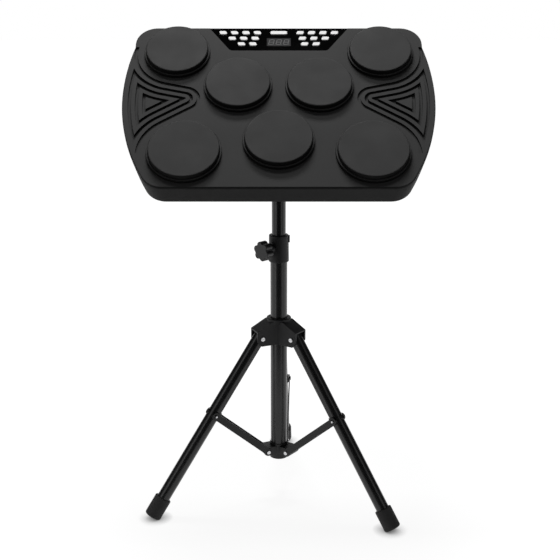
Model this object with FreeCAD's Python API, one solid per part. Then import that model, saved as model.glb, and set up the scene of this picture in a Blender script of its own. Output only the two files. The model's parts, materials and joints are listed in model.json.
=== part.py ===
import FreeCAD, Part
import math
import os

# Table-top electronic drum with seven pads, on a folding tripod stand.
# Millimetres and degrees. The stand is built about its column: +Z up, the player at -Y.
# The drum is built flat in a deck frame of its own: x to the right, y to the rear,
# z out of the deck, with the origin in the middle of the deck's top face.

os.makedirs("parts", exist_ok=True)
Vector = FreeCAD.Vector
ORIGIN = Vector(0, 0, 0)
X_AXIS = Vector(1, 0, 0)
Y_AXIS = Vector(0, 1, 0)
UP = Vector(0, 0, 1)
DOWN = Vector(0, 0, -1)

# Drum pads: rubber discs on foam, each in a low ring moulded on the deck
PAD_D_REAR = 111.0
PAD_D_MIDDLE = 114.0
PAD_D_CENTRE = 117.0
PAD_D_FRONT = 122.0
PAD_PROUD = 8.0
PAD_EDGE_R = 2.5
PAD_FOOT_R = 0.8
PAD_GAP = 0.6
RING_WIDTH = 3.5
RING_HEIGHT = 6.0
RING_EDGE_R = 1.2
FOAM_T = 3.0
FOAM_WIDTH = 20.0
FOAM_INSET = 4.0
SEAT_GAP = 0.2
SENSOR_D = 27.0
SENSOR_T = 1.5

# Pad layout: gaps between rings, and margins from the rings to the deck's edges
MIDDLE_GAP = 23.0
CENTRE_MIDDLE_GAP = 21.0
MIDDLE_REAR_GAP = 16.5
CENTRE_FRONT_GAP = 36.5
CENTRE_MARGIN = 37.0
FRONT_MARGIN = 8.5
REAR_MARGIN = 5.0
SIDE_MARGIN = 18.3

# Case outline
BULGE = 15.0
FRONT_TAPER = 57.5
WIDEST_FROM_REAR = 165.0
SHOULDER_FROM_REAR = 48.0
REAR_CORNER_R = 39.0
FRONT_CORNER_R = 40.0
CASE_THICK = 42.0
PARTING_DEPTH = 5.0
POST_DEPTH = 20.0
TOP_WALL = 3.0
LIP_DEPTH = 9.0
LIP_T = 2.0
LIP_GAP = 0.2
SIDE_WALL = 3.0
BOTTOM_WALL = 3.0
DECK_EDGE_R = 1.8
BELLY_EDGE_R = 3.0
DRAFT_FROM = 10.0
SIDE_DRAFT = 5.0

# Fan of nested channels sunk in each side of the deck; shares are of the room between the pads' clearances
FAN_COUNT = 4
FAN_PITCH_SHARE = 0.17
FAN_WIDTH = 5.8
FAN_DEPTH = 5.0
FAN_EDGE_DEPTH = 3.5
FAN_FLOOR = 2.0
FAN_REAR_GAP = 15.5
FAN_FRONT_GAP = 16.0
FAN_NOSE_GAP = 8.5
FAN_NOSE_SHARE = 0.3305
FAN_NOSE_PLACE = 0.574
FAN_EDGE_INSET = 13.0
FAN_BACKING = 6.0

# Console: black fascia with buttons and a display, at the rear edge
CONSOLE_GAP = 26.0
CONSOLE_RIM = 0.8
CONSOLE_FRONT_HALF = 88.0
CONSOLE_FLARE = 0.70
CONSOLE_CORNER_R = 9.0
CONSOLE_LEDGE = 4.0
CONSOLE_REAR_LEDGE = 5.0
CONSOLE_LEDGE_T = 3.0
CONSOLE_FIT = 0.3
FASCIA_T = 2.4
FASCIA_SINK = 0.6

BUTTON_ROWS = 3
BUTTON_PITCH = 20.9
ROW_PITCH = 14.0
ROW_SHIFT = 4.0
FIRST_BUTTON_X = 39.0
ROW_REAR_MARGIN = 12.0
ROW_FRONT_MARGIN = 15.7
BUTTON_W = 13.4
BUTTON_H = 8.4
BUTTON_LEAN = 0.45
BUTTON_R = 2.8
WIDE_BUTTON_W = 30.6
BUTTON_PROUD = 1.8
BUTTON_TOP_R = 0.8
BUTTON_FIT = 0.3
FLANGE_W = 1.2
FLANGE_T = 1.2
FLANGE_GAP = 0.25
STEM_R = 2.6
DOME_R = 3.2
DOME_H = 2.6
MAT_T = 1.0
MAT_MARGIN = 4.0

DISPLAY_W = 43.4
DISPLAY_H = 19.4
DISPLAY_GAP = 8.4
DISPLAY_R = 1.2
LENS_T = 1.6
LENS_LEDGE = 1.6
LENS_FIT = 0.15
MODULE_W = 37.6
MODULE_H = 15.5
MODULE_T = 7.2

BOARD_T = 1.6
BOARD_DEPTH = 12.4
BOARD_MARGIN = 5.5
BOARD_REAR_GAP = 4.0

# Screws that hold the case, the board and the mounting plate
BOSS_R = 5.0
SCREW_R = 1.5
SCREW_HEAD_R = 3.2
SCREW_HEAD_T = 2.4
SCREW_HOLE_FIT = 0.15
SCREW_INSET = 17.0
SCREW_BITE = 9.0
COUNTERBORE_DEPTH = 6.0
PLATE_POST_H = 14.0

# Sockets in the rear wall
JACK_X = (-168.0, -140.0, -112.0, 140.0)
JACK_BORES = (1.8, 1.8, 1.8, 2.8)
JACK_NOSE_R = 4.2
JACK_FLANGE_R = 5.4
JACK_FLANGE_T = 1.2
JACK_BODY = 11.0
JACK_BODY_L = 13.0
JACK_BORE_L = 14.0
JACK_FIT = 0.1
DC_PIN_R = 1.0
DC_PIN_INSET = 3.0

# Tilting mount under the drum
TILT = 41.5
MOUNT_FORWARD = 40.0
PLATE_W = 110.0
PLATE_L = 90.0
PLATE_T = 3.0
PLATE_CORNER_R = 10.0
PLATE_SCREW_INSET = 11.0
PIVOT_DROP = 23.0
EAR_T = 4.0
EAR_R = 13.0
HEAD_W = 24.0
HEAD_SIDE_GAP = 0.3
HEAD_R = 17.0
HEAD_SOCKET_L = 38.0
HEAD_NECK = 22.0
HEAD_LID = 4.0
TILT_BOLT_R = 4.0
BOLT_FIT = 0.2
BOLT_HEAD_R = 7.0
BOLT_HEAD_T = 5.0

# Clamp knobs
KNOB_D = 36.0
KNOB_T = 16.0
KNOB_LOBES = 6
KNOB_LOBE_R = 6.5
KNOB_WAIST = 4.5
KNOB_EDGE_R = 1.2
KNOB_COLLAR_R = 8.0
KNOB_AZIMUTH = 225.0

# Column
UPPER_TUBE_D = 25.4
LOWER_TUBE_D = 31.0
TUBE_WALL = 1.5
TUBE_FIT = 0.05
SLIDE_FIT = 0.3
POST_SHOWN = 161.6
POST_INSIDE = 240.0
COLLAR_D = 35.8
COLLAR_FLARE = 0.6
COLLAR_GRIP = 36.0
COLLAR_LIP = 14.0
COLLAR_EDGE_R = 1.5
COLLAR_TAB_W = 6.0
COLLAR_TAB_H = 14.0
COLLAR_TAB_REACH = 2.2
KNOB_BELOW_TOP = 24.0
KNOB_REACH = 27.0
STUD_R = 3.0
STUD_FIT = 0.15
CLAMP_BOSS_R = 8.0
CLAMP_BOSS_REACH = 25.0

# Tripod; the legs' places are turned clockwise, seen from above, from straight behind the column
LEG_AZIMUTHS = (2.5, 126.0, 246.5)
LEG_SPREAD = 34.0
LEG_FOLDED = 3.0
LEG_LENGTH = 389.0
LEG_D = 24.0
LEG_WALL = 1.5
LEG_TOP = 6.0
FOOT_D = 31.4
FOOT_L = 40.5
FOOT_WALL = 6.0
FOOT_END_R = 4.0
FOOT_RIM_R = 1.5
FOOT_AXIS_Z = 5.0

HUB_PIVOT_R = 39.0
HUB_SLEEVE_WALL = 4.2
HUB_ABOVE = 34.2
HUB_BELOW = 14.3
HUB_RING_H = 9.0
HUB_RING_R = 22.8
HUB_ARM_END = 49.5
HUB_ARM_ROOT_DROP = 4.0
HUB_ARM_END_DROP = 20.0
HUB_TOE_LIFT = 9.0
HUB_TOE_BACK = 8.0
HUB_CHEEK_T = 3.5
HUB_CHEEK_GAP = 0.5
HUB_ROOF_T = 4.0
PIVOT_SCREW_R = 3.0
PIVOT_FIT = 0.15
PIVOT_HEAD_R = 4.2
PIVOT_HEAD_T = 2.0
SLOT_W = 1.1
SLOT_DEPTH = 0.9
HEAD_EDGE_R = 0.9

COLUMN_CLEAR = 81.0
SPREADER_R = 28.0
SPREADER_ABOVE = 18.0
SPREADER_SLEEVE_WALL = 1.7
SPREADER_SLEEVE_L = 30.0
LUG_R = 8.0
STRUT_AT = 167.0
STRUT_W = 12.4
STRUT_T = 2.0
STRUT_EYE_R = 7.4
STRUT_GAP = 0.4
RIVET_R = 2.5
RIVET_HEAD_R = 3.8
RIVET_HEAD_T = 1.7
CLIP_T = 2.0
CLIP_L = 16.0
CLIP_WRAP = 4.0
CLIP_EAR_R = 8.0
CLIP_RIVET_HEAD_R = 5.0
CLIP_RIVET_HEAD_T = 2.6
FOLD_MARGIN = 32.4

TINY = 0.01
REACH = 1000.0


# Layout of the deck, counted first from its front edge
def ring_radius(pad_diameter):
    return pad_diameter / 2 + RING_WIDTH


ring_rear = ring_radius(PAD_D_REAR)
ring_middle = ring_radius(PAD_D_MIDDLE)
ring_centre = ring_radius(PAD_D_CENTRE)
ring_front = ring_radius(PAD_D_FRONT)
console_depth = ROW_REAR_MARGIN + (BUTTON_ROWS - 1) * ROW_PITCH + ROW_FRONT_MARGIN

centre_y = CENTRE_MARGIN + ring_centre
middle_x = MIDDLE_GAP / 2 + ring_middle
middle_y = centre_y + math.sqrt((ring_centre + ring_middle + CENTRE_MIDDLE_GAP) ** 2 - middle_x ** 2)
deck_depth = middle_y + ring_middle + CONSOLE_GAP + console_depth + CONSOLE_RIM
rear_y = deck_depth - REAR_MARGIN - ring_rear
rear_x = middle_x + math.sqrt((ring_middle + ring_rear + MIDDLE_REAR_GAP) ** 2 - (rear_y - middle_y) ** 2)
front_y = FRONT_MARGIN + ring_front
front_x = math.sqrt((ring_centre + ring_front + CENTRE_FRONT_GAP) ** 2 - (centre_y - front_y) ** 2)

half_depth = deck_depth / 2
deck_rear = half_depth
deck_front = -half_depth
PADS = (
    (-rear_x, rear_y - half_depth, PAD_D_REAR),
    (rear_x, rear_y - half_depth, PAD_D_REAR),
    (-middle_x, middle_y - half_depth, PAD_D_MIDDLE),
    (middle_x, middle_y - half_depth, PAD_D_MIDDLE),
    (-front_x, front_y - half_depth, PAD_D_FRONT),
    (0.0, centre_y - half_depth, PAD_D_CENTRE),
    (front_x, front_y - half_depth, PAD_D_FRONT),
)
pad_top = RING_HEIGHT + PAD_PROUD
pad_bottom = FOAM_T + SEAT_GAP

# The case's sides: a straight shoulder, then two arcs that meet at the widest place
rear_half = rear_x + ring_rear + SIDE_MARGIN
half_width = rear_half + BULGE
widest_y = deck_rear - WIDEST_FROM_REAR
shoulder_y = deck_rear - SHOULDER_FROM_REAR


def arc_radius(inset, run):
    """Radius of an arc that starts straight along its chord's side and turns in by inset over run."""
    return (inset ** 2 + run ** 2) / (2 * inset)


shoulder_r = arc_radius(BULGE, shoulder_y - widest_y)
flank_r = arc_radius(FRONT_TAPER, widest_y - deck_front)
shoulder_x = half_width - shoulder_r
flank_x = half_width - flank_r

# Heights in the deck frame
fascia_top = -FASCIA_SINK
fascia_bottom = -FASCIA_SINK - FASCIA_T
board_top = -BOARD_DEPTH
mat_top = board_top + MAT_T
dome_top = mat_top + DOME_H
case_bottom = -CASE_THICK
plate_bottom = case_bottom - PLATE_T
pivot_depth = CASE_THICK + PLATE_T + PIVOT_DROP

# Heights of the stand
spread = math.radians(LEG_SPREAD)
folded = math.radians(LEG_FOLDED)
hub_pivot_z = FOOT_AXIS_Z + LEG_LENGTH * math.cos(spread)
hub_top = hub_pivot_z + HUB_ABOVE
hub_bottom = hub_pivot_z - HUB_BELOW
spreader_z = COLUMN_CLEAR + SPREADER_ABOVE
strut_top = Vector(HUB_PIVOT_R, 0, hub_pivot_z) + Vector(math.sin(spread), 0, -math.cos(spread)) * STRUT_AT
strut_foot = Vector(SPREADER_R, 0, spreader_z)
strut_length = strut_top.distanceToPoint(strut_foot)
folded_reach = HUB_PIVOT_R + STRUT_AT * math.sin(folded) - SPREADER_R
strut_angle = math.asin((strut_top.x - strut_foot.x) / strut_length)
strut_folded = math.asin(folded_reach / strut_length)
fold_travel = spreader_z + strut_length * math.cos(strut_folded) + STRUT_AT * math.cos(folded) - hub_pivot_z
collar_bottom = hub_top + fold_travel + FOLD_MARGIN
tube_top = collar_bottom + COLLAR_GRIP
collar_top = tube_top + COLLAR_LIP
knob_z = collar_top - KNOB_BELOW_TOP
pivot_z = collar_top + POST_SHOWN
post_top = pivot_z - HEAD_NECK - HEAD_LID
post_bottom = collar_top - POST_INSIDE

upper_tube_r = UPPER_TUBE_D / 2
lower_tube_r = LOWER_TUBE_D / 2
leg_r = LEG_D / 2
ear_inner = HEAD_W / 2 + HEAD_SIDE_GAP
clip_outer = leg_r + TUBE_FIT + CLIP_T
strut_inner = clip_outer + STRUT_GAP
strut_outer = strut_inner + STRUT_T
lug_half = strut_inner - STRUT_GAP

# Where the deck's frame stands on the stand, tilted about its pivot
tilt = math.radians(TILT)
deck_centre = Vector(
    0,
    MOUNT_FORWARD * math.cos(tilt) - pivot_depth * math.sin(tilt),
    pivot_z + MOUNT_FORWARD * math.sin(tilt) + pivot_depth * math.cos(tilt),
)

pieces = {}


# Small helpers
def cylinder(radius, length, base=ORIGIN, direction=UP):
    return Part.makeCylinder(radius, length, base, direction)


def box(low, high):
    return Part.makeBox(high[0] - low[0], high[1] - low[1], high[2] - low[2], Vector(*low))


def tube(outer, inner, length, base=ORIGIN, direction=UP):
    return cylinder(outer, length, base, direction).cut(cylinder(inner, length, base, direction))


def extruded(edges, height):
    wire = Part.Wire(Part.__sortEdges__(edges))
    return Part.Face(wire).extrude(Vector(0, 0, height))


def polygon_prism(points, bottom, top):
    corners = [Vector(x, y, bottom) for x, y in points]
    return Part.Face(Part.makePolygon(corners + corners[:1])).extrude(Vector(0, 0, top - bottom))


def upright_edges(solid):
    return [e for e in solid.Edges if e.BoundBox.XLength < TINY and e.BoundBox.YLength < TINY]


def edges_at(solid, z):
    return [e for e in solid.Edges if abs(e.BoundBox.ZMin - z) < TINY and abs(e.BoundBox.ZMax - z) < TINY]


def rounded_plate(width, length, radius, bottom, top, centre=(0.0, 0.0)):
    low = (centre[0] - width / 2, centre[1] - length / 2, bottom)
    high = (centre[0] + width / 2, centre[1] + length / 2, top)
    plate = box(low, high)
    return plate.makeFillet(radius, upright_edges(plate))


def fused(shapes):
    return shapes[0].fuse(shapes[1:]).removeSplitter()


def rivet_head(radius, height, edge_r):
    head = cylinder(radius, height)
    return head.makeFillet(edge_r, edges_at(head, height))


def aimed(shape, base, direction):
    """Copy of a shape built along +Z from the origin, set at base and turned to direction."""
    turned = shape.copy()
    turned.Placement = FreeCAD.Placement(base, FreeCAD.Rotation(UP, direction))
    return turned


def on_deck(shape):
    """From the deck's frame to the stand's: tilted, and carried to the deck's centre."""
    placed = shape.copy()
    placed.rotate(ORIGIN, X_AXIS, TILT)
    placed.translate(deck_centre)
    return placed


def round_column(shape, azimuth):
    """From a leg's own plane, radius along +X, to its place round the column."""
    placed = shape.copy()
    placed.rotate(ORIGIN, UP, 90.0 - azimuth)
    return placed


def along_leg(shape):
    """From a frame with the pivot at its origin and the leg down -Z, to the leg's plane."""
    placed = shape.copy()
    placed.rotate(ORIGIN, Y_AXIS, -LEG_SPREAD)
    placed.translate(Vector(HUB_PIVOT_R, 0, hub_pivot_z))
    return placed


def mirrored(shape):
    return shape.mirror(ORIGIN, X_AXIS)


# Case outline, whole or set in from its edge
def half_outline(inset):
    """Points of the right half, rear to front, each arc with a point midway."""
    rear = deck_rear - inset
    front = deck_front + inset
    side = rear_half - inset
    corner = REAR_CORNER_R - inset
    toe = FRONT_CORNER_R - inset
    upper_arc = shoulder_r - inset
    lower_arc = flank_r - inset

    def on_arc(cx, cy, radius, angle):
        return (cx + radius * math.cos(angle), cy + radius * math.sin(angle))

    shoulder_angle = math.acos((side - shoulder_x) / upper_arc)
    toe_y = front + toe
    toe_x = flank_x + math.sqrt((lower_arc - toe) ** 2 - (widest_y - toe_y) ** 2)
    toe_angle = math.atan2(toe_y - widest_y, toe_x - flank_x)
    quarter = math.pi / 2
    return [
        ("line", (0.0, rear), (side - corner, rear)),
        ("arc", (side - corner, rear), on_arc(side - corner, rear - corner, corner, quarter / 2),
         (side, rear - corner)),
        ("line", (side, rear - corner), on_arc(shoulder_x, widest_y, upper_arc, shoulder_angle)),
        ("arc", on_arc(shoulder_x, widest_y, upper_arc, shoulder_angle),
         on_arc(shoulder_x, widest_y, upper_arc, shoulder_angle / 2), (half_width - inset, widest_y)),
        ("arc", (half_width - inset, widest_y), on_arc(flank_x, widest_y, lower_arc, toe_angle / 2),
         on_arc(flank_x, widest_y, lower_arc, toe_angle)),
        ("arc", on_arc(toe_x, toe_y, toe, toe_angle), on_arc(toe_x, toe_y, toe, (toe_angle - quarter) / 2),
         (toe_x, front)),
        ("line", (toe_x, front), (0.0, front)),
    ]


def case_wire(inset, z, draft=0.0):
    """The whole outline at a height, its two sides brought in by the draft."""
    edges = []
    for flip in (1.0, -1.0):
        for kind, *points in half_outline(inset):
            spots = [Vector(flip * max(x - draft, 0.0), y, z) for x, y in points]
            if kind == "line":
                edges.append(Part.LineSegment(*spots).toShape())
            else:
                edges.append(Part.Arc(*spots).toShape())
    return Part.Wire(Part.__sortEdges__(edges))


def case_prism(inset, bottom, top):
    return Part.Face(case_wire(inset, bottom)).extrude(Vector(0, 0, top - bottom)).removeSplitter()


def tray_solid(inset, bottom):
    """The tray's form from the parting line down: upright at first, then drawn in at its sides."""
    draft = SIDE_DRAFT * (-DRAFT_FROM - bottom) / (CASE_THICK - DRAFT_FROM)
    skirt = Part.makeLoft([case_wire(inset, -DRAFT_FROM), case_wire(inset, bottom, draft)], True, True)
    return fused([case_prism(inset, -DRAFT_FROM, -PARTING_DEPTH), skirt])


def edge_half(y):
    """Half the case's width at a place along the deck, on its two side arcs."""
    if y > widest_y:
        bulge = shoulder_x + math.sqrt(shoulder_r ** 2 - (y - widest_y) ** 2)
        return max(bulge, rear_half)
    return flank_x + math.sqrt(flank_r ** 2 - (y - widest_y) ** 2)


# Fan relief on the right side: nested loops round the rear and the front pad
fan_rear = Vector(rear_x, rear_y - half_depth, 0)
fan_front = Vector(front_x, front_y - half_depth, 0)
fan_rear_r = ring_rear + FAN_REAR_GAP
fan_front_r = ring_front + FAN_FRONT_GAP
fan_room = fan_rear.y - fan_rear_r - fan_front.y - fan_front_r
fan_pitch = FAN_PITCH_SHARE * fan_room
fan_nose_r = FAN_NOSE_SHARE * fan_room
fan_nose = Vector(
    middle_x + ring_middle + FAN_NOSE_GAP + fan_nose_r,
    fan_front.y + fan_front_r + FAN_NOSE_PLACE * fan_room,
    0,
)


def tangent_normal(pad, pad_r, turn):
    """Normal of the straight side between the nose's circle and a pad's circle."""
    gap = pad - fan_nose
    angle = math.atan2(gap.y, gap.x) + turn * math.acos((pad_r + fan_nose_r) / gap.Length)
    return Vector(math.cos(angle), math.sin(angle), 0)


fan_up = tangent_normal(fan_rear, fan_rear_r, 1.0)
fan_low = tangent_normal(fan_front, fan_front_r, -1.0)


def fan_prism(inset, edge_r, bottom, top):
    """The fan's area, set in from its sides, within a circle of edge_r about the flank's centre."""
    rear_touch = fan_rear - fan_up * (fan_rear_r + inset)
    front_touch = fan_front - fan_low * (fan_front_r + inset)
    high = shoulder_y
    low = fan_front.y
    far = half_width + REACH
    nose_r = fan_nose_r - inset
    middle = (fan_up + fan_low).normalize()
    if nose_r > TINY:
        tip = [fan_nose + fan_low * nose_r, fan_nose + middle * nose_r, fan_nose + fan_up * nose_r]
    else:
        half_angle = fan_up.getAngle(fan_low) / 2
        tip = [fan_nose + middle * (nose_r / math.cos(half_angle))]
    outline = [
        tip[-1], rear_touch, Vector(rear_touch.x, high, 0), Vector(far, high, 0),
        Vector(far, low, 0), Vector(front_touch.x, low, 0), front_touch, tip[0],
    ]
    if nose_r <= TINY:
        outline.pop()
    lift = Vector(0, 0, bottom)
    ring = [p + lift for p in outline]
    edges = [Part.LineSegment(a, b).toShape() for a, b in zip(ring, ring[1:])]
    if nose_r > TINY:
        edges.append(Part.Arc(*[p + lift for p in tip]).toShape())
    else:
        edges.append(Part.LineSegment(ring[-1], ring[0]).toShape())
    area = extruded(edges, top - bottom)
    area = area.common(cylinder(edge_r, top - bottom, Vector(flank_x, widest_y, bottom)))
    for pad, radius in ((fan_rear, fan_rear_r + inset), (fan_front, fan_front_r + inset)):
        area = area.cut(cylinder(radius, top - bottom, pad + lift))
    return area


def fan_channel(loop):
    """One channel: the outermost runs out over the case's edge, the others close on themselves."""
    inset = loop * fan_pitch
    wide = FAN_WIDTH / 2
    edge_inset = FAN_EDGE_INSET + (loop - 1) * fan_pitch
    depth = FAN_DEPTH
    if loop == 0:
        depth = FAN_EDGE_DEPTH
        outer_r = inner_r = flank_r + REACH
    else:
        outer_r = flank_r - edge_inset + wide
        inner_r = flank_r - edge_inset - wide
    outer = fan_prism(inset - wide, outer_r, -depth, TOP_WALL)
    return outer.cut(fan_prism(inset + wide, inner_r, -depth, TOP_WALL))


# Console shapes
console_rear = deck_rear - CONSOLE_RIM
console_front = console_rear - console_depth


def console_prism(inset, rear_inset, bottom, top):
    """The fascia's trapezium with its two rounded front corners, set in from its edges."""
    slant = inset * math.sqrt(1 + CONSOLE_FLARE ** 2)
    low = console_front + inset
    high = console_rear - rear_inset
    front_half = CONSOLE_FRONT_HALF + CONSOLE_FLARE * inset - slant
    back_half = CONSOLE_FRONT_HALF + CONSOLE_FLARE * (high - console_front) - slant
    points = [(-front_half, low), (front_half, low), (back_half, high), (-back_half, high)]
    prism = polygon_prism(points, bottom, top)
    corners = [e for e in upright_edges(prism) if abs(e.CenterOfMass.y - low) < TINY]
    return prism.makeFillet(CONSOLE_CORNER_R - inset, corners)


def button_places():
    """Name, centre and lean of each slanted button; the two groups mirror each other."""
    for side, name in ((-1, "left"), (1, "right")):
        number = 0
        for row in range(BUTTON_ROWS):
            for column in range(BUTTON_ROWS + 1 - row):
                number += 1
                x = FIRST_BUTTON_X + row * ROW_SHIFT + column * BUTTON_PITCH
                y = console_rear - ROW_REAR_MARGIN - row * ROW_PITCH
                yield f"button_{name}_{number}", side * x, y, side


def button_prism(x, y, side, grow, bottom, top):
    """A rounded slanted key; side 0 makes the wide upright one."""
    width = (BUTTON_W if side else WIDE_BUTTON_W) / 2 + grow
    height = BUTTON_H / 2 + grow
    lean = side * BUTTON_LEAN * height
    points = [(x - width - lean, y - height), (x + width - lean, y - height),
              (x + width + lean, y + height), (x - width + lean, y + height)]
    prism = polygon_prism(points, bottom, top)
    return prism.makeFillet(BUTTON_R + grow, upright_edges(prism))


BUTTONS = list(button_places()) + [("button_wide", 0.0, console_rear - ROW_REAR_MARGIN, 0)]
display_y = console_rear - ROW_REAR_MARGIN - BUTTON_H / 2 - DISPLAY_GAP - DISPLAY_H / 2

# Board and its four posts, clear of the console's opening
board_half = CONSOLE_FRONT_HALF + CONSOLE_FLARE * console_depth + BOARD_MARGIN
board_rear = deck_rear - SIDE_WALL - BOARD_REAR_GAP
board_front = console_front + CONSOLE_LEDGE
BOARD_POSTS = [(sx * (board_half - BOARD_MARGIN), y)
               for sx in (-1, 1) for y in (board_front + BOARD_MARGIN, board_rear - BOARD_MARGIN)]

# Case screws near the edge, from underneath
screw_rows = [
    deck_rear - REAR_CORNER_R,
    widest_y,
    deck_front + FRONT_CORNER_R / 2 + SCREW_INSET,
]
CASE_SCREWS = [(sx * (edge_half(y) - SCREW_INSET), y) for sx in (-1, 1) for y in screw_rows]
CASE_SCREWS += [(sx * middle_x, deck_front + SCREW_INSET) for sx in (-1, 1)]
plate_screw_x = PLATE_W / 2 - PLATE_SCREW_INSET
plate_screw_y = PLATE_L / 2 - PLATE_SCREW_INSET
PLATE_SCREWS = [(sx * plate_screw_x, -MOUNT_FORWARD + sy * plate_screw_y) for sx in (-1, 1) for sy in (-1, 1)]


# Upper shell: deck, pad rings, fan relief, console seat, screw posts
def upper_shell():
    body = case_prism(0.0, -PARTING_DEPTH, 0.0)
    body = body.makeFillet(DECK_EDGE_R, edges_at(body, 0.0))
    lip_edge = SIDE_WALL + LIP_GAP
    body = body.cut(case_prism(lip_edge + LIP_T, -PARTING_DEPTH, -TOP_WALL))
    inside = case_prism(lip_edge, -POST_DEPTH, -TOP_WALL / 2)
    lip = inside.cut(case_prism(lip_edge + LIP_T, -POST_DEPTH, 0.0))
    added = [lip.cut(box((-REACH, -REACH, -REACH), (REACH, REACH, -LIP_DEPTH)))]
    for x, y, diameter in PADS:
        ring = cylinder(ring_radius(diameter), RING_HEIGHT + TOP_WALL, Vector(x, y, -TOP_WALL))
        ring = ring.makeFillet(RING_EDGE_R, edges_at(ring, RING_HEIGHT))
        added.append(ring.cut(cylinder(diameter / 2 + PAD_GAP, RING_HEIGHT, Vector(x, y, 0))))
    backing = fan_prism(-FAN_BACKING, flank_r, -FAN_DEPTH - FAN_FLOOR, -TOP_WALL / 2)
    added += [backing.common(inside), mirrored(backing).common(inside)]
    seat = console_prism(-CONSOLE_LEDGE, 0.0, fascia_bottom - CONSOLE_LEDGE_T, -TOP_WALL / 2)
    added.append(seat.common(inside))
    for x, y in CASE_SCREWS:
        added.append(cylinder(BOSS_R, POST_DEPTH - TOP_WALL / 2, Vector(x, y, -POST_DEPTH)))
    for x, y in BOARD_POSTS:
        added.append(cylinder(BOSS_R, -TOP_WALL / 2 - board_top, Vector(x, y, board_top)))
    body = fused([body] + added)

    taken = [console_prism(0.0, -SIDE_WALL, fascia_bottom, TOP_WALL)]
    taken.append(console_prism(CONSOLE_LEDGE, CONSOLE_REAR_LEDGE, -POST_DEPTH, TOP_WALL))
    for loop in range(FAN_COUNT):
        channel = fan_channel(loop)
        taken += [channel, mirrored(channel)]
    pilot = SCREW_R + SCREW_HOLE_FIT
    for x, y in CASE_SCREWS:
        taken.append(cylinder(pilot, SCREW_BITE + SCREW_R, Vector(x, y, -POST_DEPTH)))
    for x, y in BOARD_POSTS:
        taken.append(cylinder(pilot, -TOP_WALL - board_top - SCREW_R, Vector(x, y, board_top)))
    return body.cut(taken)


# Lower shell: tray with screw posts, plate inserts and the holes for the sockets
jack_z = -(PARTING_DEPTH + CASE_THICK) / 2


def lower_shell():
    body = tray_solid(0.0, case_bottom)
    body = body.makeFillet(BELLY_EDGE_R, edges_at(body, case_bottom))
    body = body.cut(tray_solid(SIDE_WALL, case_bottom + BOTTOM_WALL))
    post_base = case_bottom + BOTTOM_WALL / 2
    added = []
    for x, y in CASE_SCREWS:
        added.append(cylinder(BOSS_R + SCREW_R, -POST_DEPTH - post_base, Vector(x, y, post_base)))
    for x, y in PLATE_SCREWS:
        added.append(cylinder(BOSS_R + SCREW_R, PLATE_POST_H, Vector(x, y, post_base)))
    body = fused([body] + added)
    taken = []
    for x, y in CASE_SCREWS:
        taken.append(cylinder(SCREW_R + SCREW_HOLE_FIT, CASE_THICK, Vector(x, y, case_bottom)))
        taken.append(cylinder(SCREW_HEAD_R + SCREW_HOLE_FIT, COUNTERBORE_DEPTH, Vector(x, y, case_bottom)))
    for x, y in PLATE_SCREWS:
        taken.append(cylinder(SCREW_R + SCREW_HOLE_FIT, SCREW_BITE + SCREW_R, Vector(x, y, case_bottom)))
    for x in JACK_X:
        mouth = Vector(x, deck_rear + SIDE_WALL / 2, jack_z)
        taken.append(cylinder(JACK_NOSE_R + JACK_FIT, SIDE_WALL * 2, mouth, -Y_AXIS))
    return body.cut(taken)


def case_screws():
    """Every screw of the drum, heads down: case, board and mounting plate."""
    shank_base = case_bottom + COUNTERBORE_DEPTH
    spots = [(x, y, shank_base, -POST_DEPTH + SCREW_BITE) for x, y in CASE_SCREWS]
    board_bottom = board_top - BOARD_T
    spots += [(x, y, board_bottom, -TOP_WALL - 2 * SCREW_R) for x, y in BOARD_POSTS]
    spots += [(x, y, plate_bottom, case_bottom + SCREW_BITE) for x, y in PLATE_SCREWS]
    screws = []
    for x, y, seat, tip in spots:
        shank = cylinder(SCREW_R, tip - seat, Vector(x, y, seat))
        head = aimed(rivet_head(SCREW_HEAD_R, SCREW_HEAD_T, HEAD_EDGE_R), Vector(x, y, seat), DOWN)
        socket = cylinder(SCREW_R, SCREW_HEAD_T / 2, Vector(x, y, seat - SCREW_HEAD_T))
        screws.append(shank.fuse(head).cut(socket))
    return Part.makeCompound(screws)


def drum_pad(x, y, diameter):
    pad = cylinder(diameter / 2, pad_top - pad_bottom, Vector(x, y, pad_bottom))
    pad = pad.makeFillet(PAD_EDGE_R, edges_at(pad, pad_top))
    return pad.makeFillet(PAD_FOOT_R, edges_at(pad, pad_bottom))


def pad_foam_rings():
    rings = []
    for x, y, diameter in PADS:
        outer = diameter / 2 - FOAM_INSET
        rings.append(tube(outer, outer - FOAM_WIDTH, FOAM_T, Vector(x, y, 0)))
    return Part.makeCompound(rings)


def pad_sensors():
    return Part.makeCompound([cylinder(SENSOR_D / 2, SENSOR_T, Vector(x, y, 0)) for x, y, _ in PADS])


def console_fascia():
    sheet = console_prism(CONSOLE_FIT, 0.0, fascia_bottom, fascia_top)
    holes = [button_prism(x, y, side, BUTTON_FIT, fascia_bottom, TOP_WALL) for _, x, y, side in BUTTONS]
    window = (DISPLAY_W + 2 * LENS_FIT, DISPLAY_H + 2 * LENS_FIT)
    holes.append(rounded_plate(*window, DISPLAY_R, fascia_top - LENS_T, TOP_WALL, (0, display_y)))
    sight = (DISPLAY_W - 2 * LENS_LEDGE, DISPLAY_H - 2 * LENS_LEDGE)
    holes.append(rounded_plate(*sight, DISPLAY_R, fascia_bottom, TOP_WALL, (0, display_y)))
    return sheet.cut(holes)


def display_lens():
    return rounded_plate(DISPLAY_W, DISPLAY_H, DISPLAY_R, fascia_top - LENS_T, fascia_top, (0, display_y))


def led_display():
    return rounded_plate(MODULE_W, MODULE_H, DISPLAY_R, board_top, board_top + MODULE_T, (0, display_y))


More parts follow.
